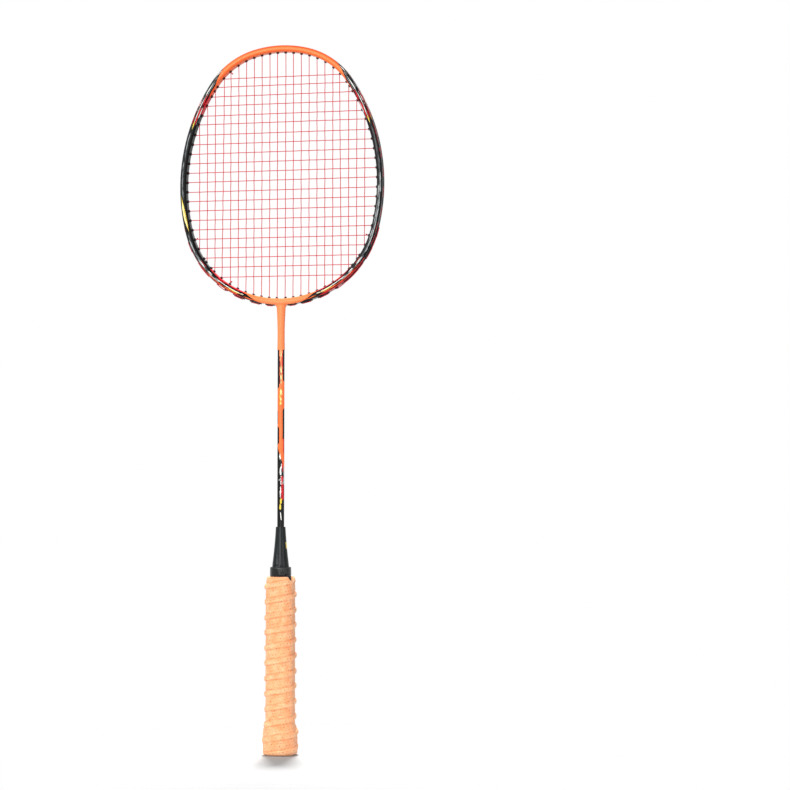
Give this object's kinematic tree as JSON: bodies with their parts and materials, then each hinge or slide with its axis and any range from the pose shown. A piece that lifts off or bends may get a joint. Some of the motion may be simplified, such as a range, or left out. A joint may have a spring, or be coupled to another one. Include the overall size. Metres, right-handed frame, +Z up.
{
  "type": "badminton racket",
  "caption": "Oval-headed badminton racket: hollow lacquered frame with a woven string bed, slim shaft, tapered cone cap and a wound grip on an octagonal handle.",
  "frame": {"origin": "centre of the butt's end face, on the shaft's axis", "axes": "+Z up the shaft to the top of the head, +X across the head, +Y through the string bed"},
  "size_m": [0.1998, 0.0308, 0.675],
  "materials": {
    "frame_lacquer": "glossy lacquer over carbon fibre: orange at the top and throat, black sides, fine red, black, white and yellow streaks between",
    "shaft_lacquer": "glossy lacquer over carbon fibre: orange with black and white streaks, black at the cone",
    "string": "smooth red nylon string, slightly glossy",
    "grommet": "black nylon, satin",
    "cone": "glossy black moulded plastic",
    "tape": "glossy black vinyl tape",
    "grip": "pale orange polyurethane grip, matt, with fine perforations",
    "wood": "bare light wood",
    "cap": "black moulded plastic, satin",
    "staple": "bright steel wire",
    "joint": "bare metal, glued in"
  },
  "bodies": {
    "root": {"head_frame": "frame_lacquer", "t_joint": "joint", "shaft": "shaft_lacquer", "main_string": "string", "cross_string": "string", "cone_cap": "cone", "handle_core": "wood", "butt_cap": "cap", "butt_staples": "staple", "finishing_tape": "tape", "grip_wrap": "grip", "top_grommet_strip": "grommet", "left_shoulder_grommet_strip": "grommet", "right_shoulder_grommet_strip": "grommet", "left_side_grommet_strip": "grommet", "right_side_grommet_strip": "grommet", "left_lower_grommet_strip": "grommet", "right_lower_grommet_strip": "grommet", "left_throat_grommets": "grommet", "right_throat_grommets": "grommet"}
  },
  "joints": []
}
